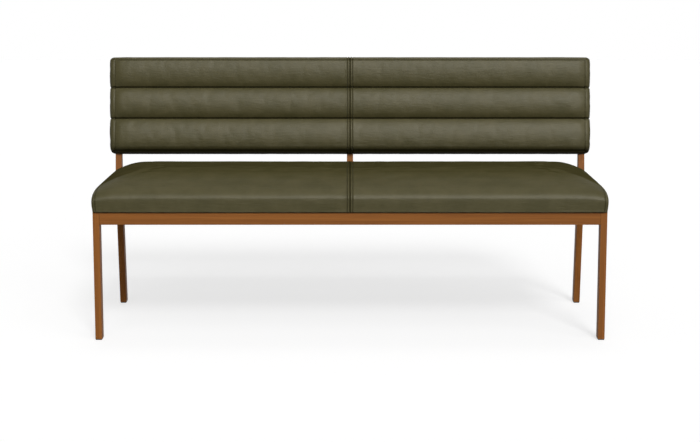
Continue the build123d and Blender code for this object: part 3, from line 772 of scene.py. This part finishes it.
class BENCH_OT_back(bpy.types.Operator):
    """Make the channelled back with its seams"""

    bl_idname = "bench.back"
    bl_label = "Back Cushion"

    def execute(self, context):
        """Builds the back, lets it settle and sews its seams."""
        back, seams = context.scene.bench_back, context.scene.bench_seams
        lower, upper, rise = back_levels(back)
        cushion = closed_mesh("back_cushion", back_grids(back, seams))
        plain, _ = points_of(cushion)

        def held(places):
            x, q, s = places.T
            rear = soft_step(q, back.thickness - 8 * MM, 8 * MM)
            seam = line_cut(x, HOLD_MIDDLE) + line_cut(BACK_END - np.abs(x) - HOLD_BACK_END, HOLD)
            groove = line_cut(s - lower, HOLD) + line_cut(s - upper, HOLD)
            edge = line_cut(s, 10 * MM) + line_cut(s - rise, 10 * MM)
            return np.clip(rear + seam + groove + edge, 0, 1)

        waves = 0.3 * MM * uneven(plain, 40 * MM, 3) + 0.12 * MM * uneven(plain, 13 * MM, 4)
        details = back_details(plain, back, seams)
        upholster(cushion, held, details, waves, cap=2 * MM)
        cushion.data.transform(back_matrix(back))
        nodes = (
            *both("back_cover"), "back_foam_bottom", "back_foam_middle", "back_foam_top",
            *both("back_end_padding"), "back_top_padding", "back_bottom_padding",
        )
        finish_piece(cushion, nodes)
        return {"FINISHED"}


class BENCH_OT_rear_panel(bpy.types.Operator):
    """Make the leather panel over the rear of the back"""

    bl_idname = "bench.rear_panel"
    bl_label = "Rear Panel"

    def execute(self, context):
        """Builds a thin padded panel inside the rear edge."""
        back = context.scene.bench_back
        half, low = BACK_END - back.panel_margin, back.panel_margin
        high = back_levels(back)[2] - low
        # The points lie closer near the panel's turned edge
        turn, fine, plain = 2 * MM, 0.8 * MM, 9 * MM
        xs = mirrored(spread(0, half, plain, [(half - turn, turn, fine)]))
        ss = spread(low, high, plain, [(low + turn, turn, fine), (high - turn, turn, fine)])
        x, s = np.meshgrid(xs, ss, indexing="ij")
        near = np.minimum(half - np.abs(x), np.minimum(s - low, high - s))
        soft = 1.6 * MM - round_off(near, 1.6 * MM)
        puff = 1.4 * MM * np.clip(near / (60 * MM), 0, 1) ** 0.5
        outer = back.thickness + soft - 0.8 * MM + puff
        waves = uneven(np.stack([x, outer, s], -1).reshape(-1, 3), 50 * MM, 6)
        waves = 0.25 * MM * waves.reshape(x.shape) * np.clip(near / (15 * MM), 0, 1)
        inner = np.full_like(x, back.thickness - 1.4 * MM)
        panel = thin_mesh(
            "back_rear_panel", np.stack([x, outer + waves, s], -1), np.stack([x, inner, s], -1)
        )
        panel.data.transform(back_matrix(back))
        mark_painted_shade(panel, np.zeros(len(panel.data.vertices)))
        panel.data.materials.append(leather(context.scene))
        finish_piece(panel, ("back_rear_cover", "back_rear_wadding"))
        return {"FINISHED"}


class BENCH_OT_dust_cloth(bpy.types.Operator):
    """Make the thin cloth that closes the seat's underside"""

    bl_idname = "bench.dust_cloth"
    bl_label = "Dust Cloth"

    def execute(self, context):
        """Builds a taut sheet that sags a little between the bearers."""
        low, high = CLOTH_LOW, CLOTH_HIGH
        x, y = np.meshgrid(
            np.linspace(low.x, high.x, 121), np.linspace(low.y, high.y, 41), indexing="ij"
        )
        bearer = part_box("seat_bearer_right")
        middle = (bearer[0].x + bearer[1].x) / 2
        # One bay hangs between the bearers, and one on each side out to the rail
        inner_bay = np.cos(x / middle * pi / 2)
        outer_bay = np.sin(np.clip((np.abs(x) - middle) / (high.x - middle), 0, 1) * pi)
        bay = np.where(np.abs(x) < middle, inner_bay, outer_bay)
        sag = 1.6 * MM * np.abs(bay) * np.sin((y - low.y) / (high.y - low.y) * pi)
        lower = np.stack([x, y, low.z + 0.1 * MM - sag], -1)
        cloth = thin_mesh("seat_dust_cloth", lower, lower + np.array([0, 0, 0.5 * MM]))
        cloth.data.materials.append(dust_cloth_material())
        finish_piece(cloth, ("seat_dust_cover",))
        return {"FINISHED"}


# Stitches


def stitch_shape(length, thickness):
    """A short rounded stitch along x: its points and faces."""
    sides = 6
    points, faces = [], []
    rings = ((-0.5, 0.3), (-0.38, 0.85), (0.0, 1.0), (0.38, 0.85), (0.5, 0.3))
    for along, wide in rings:
        for turn in range(sides):
            a = turn * pi / 3
            radius = wide * thickness / 2
            points.append((along * length, cos(a) * radius, sin(a) * radius))
    for ring in range(len(rings) - 1):
        for turn in range(sides):
            a, b = ring * sides + turn, ring * sides + (turn + 1) % sides
            faces.append((a, b, b + sides, a + sides))
    faces.append(tuple(range(sides - 1, -1, -1)))
    faces.append(tuple(range(len(points) - sides, len(points))))
    return np.array(points), faces


def sew(name, rows, seams):
    """One mesh of stitches along rows of surface points with their normals."""
    shape, faces = stitch_shape(seams.stitch, seams.thread)
    # Share of the thread's thickness that its middle lies above the leather
    proud = 0.15
    points, made = [], []

    def between(place, run, values):
        return np.array([np.interp(place, run, values[:, i]) for i in range(3)])

    for places, normals in rows:
        steps = np.linalg.norm(np.diff(places, axis=0), axis=1)
        run = np.concatenate([[0], np.cumsum(steps)])
        pitch = seams.stitch + seams.gap
        for stitch in range(int(run[-1] / pitch)):
            middle = (stitch + 0.5) * pitch
            start = between(middle - seams.stitch / 2, run, places)
            end = between(middle + seams.stitch / 2, run, places)
            normal = between(middle, run, normals)
            along = (end - start) / np.linalg.norm(end - start)
            normal -= along * normal.dot(along)
            normal /= np.linalg.norm(normal)
            side = np.cross(normal, along)
            centre = (start + end) / 2 + normal * seams.thread * proud
            offset = len(points) * len(shape)
            points.append(centre + shape @ np.array([along, side, normal]))
            made += [tuple(index + offset for index in face) for face in faces]
    data = bpy.data.meshes.new(name)
    data.from_pydata(np.concatenate(points).tolist(), [], made)
    data.shade_smooth()
    return add_object(name, data)


def surface_row(piece, rays):
    """Points and normals where rays, aimed past a target from outside, meet a piece."""
    tree = BVHTree.FromObject(piece, bpy.context.evaluated_depsgraph_get())
    away = 60 * MM
    places, normals = [], []
    for target, direction in rays:
        target, direction = Vector(target), Vector(direction)
        place, normal, _, _ = tree.ray_cast(target - direction * away, direction)
        if place is None:
            raise RuntimeError("a stitched row misses its cushion")
        places.append(place)
        normals.append(normal)
    return np.array(places), np.array(normals)


class BENCH_OT_stitches(bpy.types.Operator):
    """Sew the stitched rows beside the middle seams"""

    bl_idname = "bench.stitches"
    bl_label = "Stitches"

    def execute(self, context):
        """Lays single stitches along each row."""
        scene = context.scene
        seams = scene.bench_seams
        origin, rearward, upward = back_frame(scene.bench_back)
        rise = back_levels(scene.bench_back)[2]
        low, high = SEAT_LOW.z + 4 * MM, SEAT_HIGH.z - 60 * MM
        # The rays swing round the seat's front edge about a hub
        swing = 70 * MM
        front = SEAT_LOW.y + swing
        seat_rows, back_rows = [], []
        for x in (-seams.row, seams.row):
            rays = [((x, SEAT_LOW.y, z), (0, 1, 0)) for z in np.linspace(low, high, 12)]
            for turn in np.radians(np.linspace(4, 86, 26)):
                out = Vector((0, -cos(turn), sin(turn)))
                rays.append((Vector((x, front, high)) + out * swing, -out))
            for y in np.linspace(front + 4 * MM, SEAT_HIGH.y - 40 * MM, 60):
                rays.append(((x, y, SEAT_HIGH.z), (0, 0, -1)))
            seat_rows.append(surface_row(bpy.data.objects["seat_cushion"], rays))
            start = origin + Vector((x, 0, 0))
            up = np.linspace(6 * MM, rise - 3 * MM, 160)
            rays = [(start + upward * s, rearward) for s in up]
            back_rows.append(surface_row(bpy.data.objects["back_cushion"], rays))
        material = thread_material(scene)
        for name, rows in (("seat_stitches", seat_rows), ("back_stitches", back_rows)):
            piece = sew(name, rows, seams)
            piece.data.materials.append(material)
            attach(piece, "root")
        return {"FINISHED"}


# Materials


def add_node(tree, kind, settings=None, links=None):
    """Adds a node, sets its properties and sockets, and links its inputs."""
    node = tree.nodes.new(kind)
    for name, value in (settings or {}).items():
        if name in node.inputs:
            node.inputs[name].default_value = value
        else:
            setattr(node, name, value)
    for name, source in (links or {}).items():
        tree.links.new(source, node.inputs[name])
    return node


def emptied(owner):
    """The node tree of a material or world, without its first nodes."""
    owner.use_nodes = True
    owner.node_tree.nodes.clear()
    return owner.node_tree


def new_material(name):
    """A material, its empty node tree and the place on the piece, to build on."""
    made = bpy.data.materials.new(name)
    tree = emptied(made)
    return made, tree, add_node(tree, "ShaderNodeTexCoord").outputs["Object"]


def paint(tree, colour, normal, settings, links=None):
    """Ends a material with its surface shader."""
    links = {"Base Color": colour, "Normal": normal, **(links or {})}
    shader = add_node(tree, "ShaderNodeBsdfPrincipled", settings, links)
    add_node(tree, "ShaderNodeOutputMaterial", links={"Surface": shader.outputs[0]})


def noisy(tree, place, scale, detail=2.0, roughness=0.5, distortion=0.0):
    """A smooth random pattern."""
    settings = dict(Scale=scale, Detail=detail, Roughness=roughness, Distortion=distortion)
    return add_node(tree, "ShaderNodeTexNoise", settings, {"Vector": place}).outputs["Fac"]


def cells(tree, place, scale, **settings):
    """A pattern of cells, as the distance from their middles."""
    settings = {"Scale": scale, **settings}
    return add_node(tree, "ShaderNodeTexVoronoi", settings, {"Vector": place}).outputs["Distance"]


def stretched(tree, place, scale):
    """The place with its directions scaled."""
    return add_node(tree, "ShaderNodeMapping", {"Scale": scale}, {"Vector": place}).outputs[0]


def ranged(tree, value, settings, links=None):
    """A value moved from one range to another."""
    links = {"Value": value, **(links or {})}
    return add_node(tree, "ShaderNodeMapRange", settings, links).outputs[0]


def joined(tree, kind, settings, sources, output=0):
    """A node whose inputs are given by number, each a socket or a value."""
    node = add_node(tree, kind, settings)
    for index, source in sources.items():
        if isinstance(source, bpy.types.NodeSocket):
            tree.links.new(source, node.inputs[index])
        else:
            node.inputs[index].default_value = source
    return node.outputs[output]


def toned(tree, factor, low, high):
    """One colour or another by a factor."""
    low, high = (
        tone if isinstance(tone, bpy.types.NodeSocket) else (*tone, 1) for tone in (low, high)
    )
    mix = {"data_type": "RGBA"}
    return joined(tree, "ShaderNodeMix", mix, {0: factor, 6: low, 7: high}, 2)


def counted(tree, operation, first, second):
    """Two values put together by an operation."""
    return joined(tree, "ShaderNodeMath", {"operation": operation}, {0: first, 1: second})


def blended(tree, factor, first, second):
    """One shader or another by a factor."""
    return joined(tree, "ShaderNodeMixShader", None, {0: factor, 1: first, 2: second})


def relief(tree, height, strength, distance, under=None):
    """A fine relief, over another one where there is one."""
    links = {"Height": height}
    if under is not None:
        links["Normal"] = under
    settings = {"Strength": strength, "Distance": distance}
    return add_node(tree, "ShaderNodeBump", settings, links).outputs[0]


def leather(scene):
    """Full-grain leather, drum dyed and lightly finished: a soft sheen over a cloudy olive."""
    name = "full_grain_leather"
    if name in bpy.data.materials:
        return bpy.data.materials[name]
    look = scene.bench_leather
    made, tree, place = new_material(name)
    cloud = noisy(tree, place, 1 / look.mottle, 4.0, 0.6, 0.3)
    tone = ranged(tree, cloud, {"From Min": 0.35, "From Max": 0.65})
    # Painted shade: the colour goes to the dark seam tone down in the seams and under the back's
    # edge
    seam = add_node(tree, "ShaderNodeAttribute", {"attribute_name": "seam_depth"}).outputs["Fac"]
    colour = toned(tree, seam, toned(tree, tone, look.deep, look.main), look.seam)
    # The pebbled grain, the fine creases, and the wrinkles drawn along the bench
    crease = noisy(tree, place, 1 / look.crease, 5.0, 0.62, 1.2)
    drawn = stretched(tree, place, (1 / look.stretch, 1 / look.wrinkle, 1 / look.wrinkle))
    surface = relief(tree, cells(tree, place, 1 / look.grain), 0.4, 0.4 * MM)
    surface = relief(tree, crease, 0.35, 0.8 * MM, surface)
    surface = relief(tree, noisy(tree, drawn, 1.0, 4.0, 0.6, 1.6), 0.6, 1.2 * MM, surface)
    dull = {"To Min": look.roughness - 0.05, "To Max": look.roughness + 0.09}
    # The pebbles hide each other at a low angle, so the sheen fades there
    turned = add_node(tree, "ShaderNodeLayerWeight").outputs["Facing"]
    fade = {"From Min": 0.25, "From Max": look.fade, "To Min": look.shine, "To Max": 0.0}
    sheen = ranged(tree, turned, fade)
    # Where shade is painted the sheen is taken out too, which darkens those places further
    sheen = ranged(tree, seam, {"To Max": 0.0}, {"To Min": sheen})
    links = {"Roughness": ranged(tree, crease, dull), "Specular IOR Level": sheen}
    paint(tree, colour, surface, {"IOR": 1.5}, links)
    return made


def thread_material(scene):
    """Bonded polyester thread, twisted: dull, a little paler than the seam it lies in."""
    made, tree, place = new_material("bonded_polyester_thread")
    twist = noisy(tree, place, 1 / (0.6 * MM))
    thread = scene.bench_leather.thread
    colour = toned(tree, twist, thread, [c * 1.5 for c in thread])
    paint(tree, colour, relief(tree, twist, 0.5, 0.1 * MM), {"Roughness": 0.7})
    return made


def wood(name, light, dark, along, line, run, roughness):
    """Planed wood with its grain along one direction."""
    made, tree, place = new_material(name)
    scale = [1 / line] * 3
    scale["xyz".index(along)] = 1 / run
    grain = stretched(tree, place, scale)
    lines = noisy(tree, grain, 1.0, 6.0, 0.6, 0.6)
    broad = noisy(tree, grain, 0.16, distortion=0.4)
    tone = counted(tree, "ADD", lines, broad)
    tone = ranged(tree, tone, {"From Min": 0.75, "From Max": 1.3})
    # Painted shade: the colour darkens where ambient occlusion finds other parts close by, in the
    # joints and under the seat's edge
    occlusion = add_node(tree, "ShaderNodeAmbientOcclusion", {"Distance": 5 * MM, "samples": 8})
    unshaded = ranged(tree, occlusion.outputs["AO"], {"From Min": 0.6, "From Max": 0.99})
    colour = toned(tree, unshaded, [0.3 * c for c in dark], toned(tree, tone, dark, light))
    settings = {"Roughness": roughness, "Specular IOR Level": 0.06}
    paint(tree, colour, relief(tree, lines, 0.3, 0.2 * MM), settings)
    return made


def dust_cloth_material():
    """Spunbond polypropylene, black: a matt felted cloth with a fine print of bonding points."""
    made, tree, place = new_material("spunbond_dust_cloth")
    points = cells(tree, place, 1 / (2.5 * MM), Randomness=0.1)
    colour = toned(tree, points, linear("#1c1c1d"), linear("#2a2a2b"))
    paint(tree, colour, relief(tree, points, 0.4, 0.3 * MM), {"Roughness": 0.85})
    return made


def plain_surface(name, light, dark, speck, roughness, metallic=0.0):
    """A fine-grained surface, such as zinc plate, nylon or hardboard."""
    made, tree, place = new_material(name)
    grit = noisy(tree, place, 1 / speck, 3.0)
    colour = toned(tree, grit, dark, light)
    settings = {"Roughness": roughness, "Metallic": metallic}
    paint(tree, colour, relief(tree, grit, 0.2, 0.1 * MM), settings)
    return made


def dress(names, material):
    """Gives CAD nodes a material."""
    for name in names:
        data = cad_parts[name].data
        data.materials.clear()
        data.materials.append(material)


# The wooden pieces, by the direction of their grain
WALNUT = {
    "z": [*both("front_leg", "rear_leg"), "centre_post"],
    "x": ["front_rail", "rear_rail"],
    "y": both("side_rail"),
}
BEECH = {
    "x": [
        "back_top_rail", "front_rail_dowels", "rear_rail_dowels", "back_rail_dowels",
        *both("back_bottom_rail", "corner_block_front", "corner_block_rear"),
    ],
    "y": [*both("seat_bearer"), "side_rail_dowels", "bearer_dowels"],
}


class BENCH_OT_wood(bpy.types.Operator):
    """Give the wooden pieces their walnut, beech, plywood and hardboard"""

    bl_idname = "bench.wood"
    bl_label = "Wood"

    def execute(self, context):
        """Assigns a wood to each wooden piece, with its grain along the piece."""
        look = context.scene.bench_wood
        # Oiled walnut, planed and sanded: fine dark pores and a low, warm sheen
        for along, pieces in WALNUT.items():
            name = "oiled_walnut_along_" + along
            figure = (along, look.line, look.run, 0.5)
            dress(pieces, wood(name, look.walnut, look.walnut_dark, *figure))
        # Steamed beech, planed: pale and even, with short fine flecks
        for along, pieces in BEECH.items():
            name = "planed_beech_along_" + along
            figure = (along, 2 * MM, 60 * MM, 0.6)
            dress(pieces, wood(name, look.beech, linear("#ab8055"), *figure))
        # Birch plywood, rotary cut: a pale broad figure along the sheet
        figure = ("x", 9 * MM, 300 * MM, 0.65)
        plywood = wood("birch_plywood", look.plywood, linear("#b08d5c"), *figure)
        dress(["seat_deck", "back_board"], plywood)
        # Tempered hardboard, pressed from wood fibre: brown, dull and finely specked
        hardboard = plain_surface(
            "tempered_hardboard", look.hardboard, linear("#573a26"), 1.2 * MM, 0.75
        )
        dress(["back_rear_board"], hardboard)
        return {"FINISHED"}


class BENCH_OT_hardware(bpy.types.Operator):
    """Give the screws and glides their materials"""

    bl_idname = "bench.hardware"
    bl_label = "Screws and Glides"

    def execute(self, context):
        """Assigns zinc plate to the screws and nylon to the glides."""
        # Zinc plated steel, yellow passivated: bright, faintly gold and slightly uneven
        zinc = plain_surface(
            "zinc_plated_steel", linear("#cfc4a2"), linear("#b0a684"), 1.5 * MM, 0.35, 1.0
        )
        dress(
            ["corner_block_screws", "back_board_screws", "seat_screws", "centre_post_screw"], zinc
        )
        # Moulded nylon, black: dull with a fine moulded grain
        nylon = plain_surface("moulded_nylon", linear("#2a2826"), linear("#1d1b1a"), 0.8 * MM, 0.6)
        dress(both("front_glide", "rear_glide"), nylon)
        return {"FINISHED"}


# Stage


def white_to_camera(tree, lit, white):
    """White for the camera and in reflections, and the given shader for other rays."""
    path = add_node(tree, "ShaderNodeLightPath").outputs
    seen = counted(tree, "MAXIMUM", path["Is Camera Ray"], path["Is Glossy Ray"])
    seen = counted(tree, "MAXIMUM", seen, path["Is Transmission Ray"])
    return blended(tree, seen, lit, white), path["Is Camera Ray"]


def floor_material(stage):
    """Matt white paper roll: white to the camera, and it keeps the bench's soft shadow."""
    made = bpy.data.materials.new("matt_white_paper")
    tree = emptied(made)
    lit = add_node(tree, "ShaderNodeBsdfDiffuse", {"Color": (*stage.floor_colour, 1)})
    bounce = add_node(tree, "ShaderNodeBsdfDiffuse", {"Color": (*stage.bounce, 1)})
    glow = add_node(tree, "ShaderNodeEmission", {"Strength": stage.glow})
    part = blended(tree, 1 - stage.shadow, lit.outputs[0], glow.outputs[0])
    paper, camera = white_to_camera(tree, bounce.outputs[0], part)
    # From below the camera looks through the paper, so that the underside shows
    side = add_node(tree, "ShaderNodeNewGeometry").outputs["Backfacing"]
    clear = add_node(tree, "ShaderNodeBsdfTransparent").outputs[0]
    surface = blended(tree, counted(tree, "MULTIPLY", side, camera), paper, clear)
    add_node(tree, "ShaderNodeOutputMaterial", links={"Surface": surface})
    return made


def sun(name, azimuth, elevation, wide, strength):
    """A soft light from far off, by its angles in degrees."""
    data = bpy.data.lights.new(name, "SUN")
    data.energy, data.angle = strength, radians(wide)
    lamp = add_object(name, data)
    a, e = radians(azimuth), radians(elevation)
    towards = Vector((sin(a) * cos(e), -cos(a) * cos(e), sin(e)))
    lamp.rotation_mode = "QUATERNION"
    lamp.rotation_quaternion = towards.to_track_quat("Z", "Y")
    return lamp


class BENCH_OT_stage(bpy.types.Operator):
    """Set up the floor, the light and the camera"""

    bl_idname = "bench.stage"
    bl_label = "Stage"

    def execute(self, context):
        """Makes a white floor and world, soft lamps and the photograph's camera."""
        scene, stage = context.scene, context.scene.bench_stage
        r = stage.floor
        data = bpy.data.meshes.new("floor")
        data.from_pydata([(-r, -r, 0), (r, -r, 0), (r, r, 0), (-r, r, 0)], [], [(0, 1, 2, 3)])
        floor = add_object("floor", data)
        floor.data.materials.append(floor_material(stage))
        world = bpy.data.worlds.new("studio")
        tree = emptied(world)
        dim, white = (
            add_node(tree, "ShaderNodeBackground", {"Strength": strength, "Color": (1, 1, 1, 1)})
            for strength in (stage.sky, 1.0)
        )
        sky, _ = white_to_camera(tree, dim.outputs[0], white.outputs[0])
        add_node(tree, "ShaderNodeOutputWorld", links={"Surface": sky})
        scene.world = world
        for name, angles in LAMPS.items():
            lamp = sun(name, *angles, getattr(stage, name))
            # The sheen is a strip light that only shows in the gloss, as a narrow softbox does
            lamp.visible_diffuse = name != "sheen"
        data = bpy.data.cameras.new("camera")
        data.lens, data.sensor_width = stage.lens, 36
        camera = add_object("camera", data)
        front = SEAT_LOW.y + scene.bench_seat.bulge
        camera.location = (0, front - stage.camera_back, stage.camera_up)
        camera.rotation_euler = (pi / 2 - stage.camera_dip, 0, 0)
        scene.camera = camera
        scene.view_settings.view_transform = "Standard"
        return {"FINISHED"}


class BENCH_PT_panel(bpy.types.Panel):
    """Sizes, colours and steps of the bench"""

    bl_idname = "BENCH_PT_panel"
    bl_label = "Upholstered Bench"
    bl_space_type = "VIEW_3D"
    bl_region_type = "UI"
    bl_category = "Bench"

    def draw(self, context):
        """Lists the steps, then the sizes and colours."""
        for step in OPERATORS:
            self.layout.operator(step.bl_idname)
        for name in GROUPS:
            group = getattr(context.scene, name)
            box = self.layout.box()
            for key in group.__annotations__:
                box.prop(group, key)


OPERATORS = (
    BENCH_OT_wood, BENCH_OT_hardware, BENCH_OT_seat, BENCH_OT_back, BENCH_OT_rear_panel,
    BENCH_OT_dust_cloth, BENCH_OT_stitches, BENCH_OT_stage,
)


CLASSES = (*GROUPS.values(), *OPERATORS, BENCH_PT_panel)


def register():
    """Registers the classes and gives the scene its settings."""
    for made in CLASSES:
        bpy.utils.register_class(made)
    for name, group in GROUPS.items():
        setattr(bpy.types.Scene, name, bpy.props.PointerProperty(type=group))


def unregister():
    """Takes back what register did."""
    for name in GROUPS:
        delattr(bpy.types.Scene, name)
    for made in reversed(CLASSES):
        bpy.utils.unregister_class(made)


def main():
    """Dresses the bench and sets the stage."""
    register()
    bpy.ops.bench.wood()
    bpy.ops.bench.hardware()
    bpy.ops.bench.seat()
    bpy.ops.bench.back()
    bpy.ops.bench.rear_panel()
    bpy.ops.bench.dust_cloth()
    bpy.ops.bench.stitches()
    bpy.ops.bench.stage()
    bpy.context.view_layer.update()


if __name__ == "__main__":
    main()
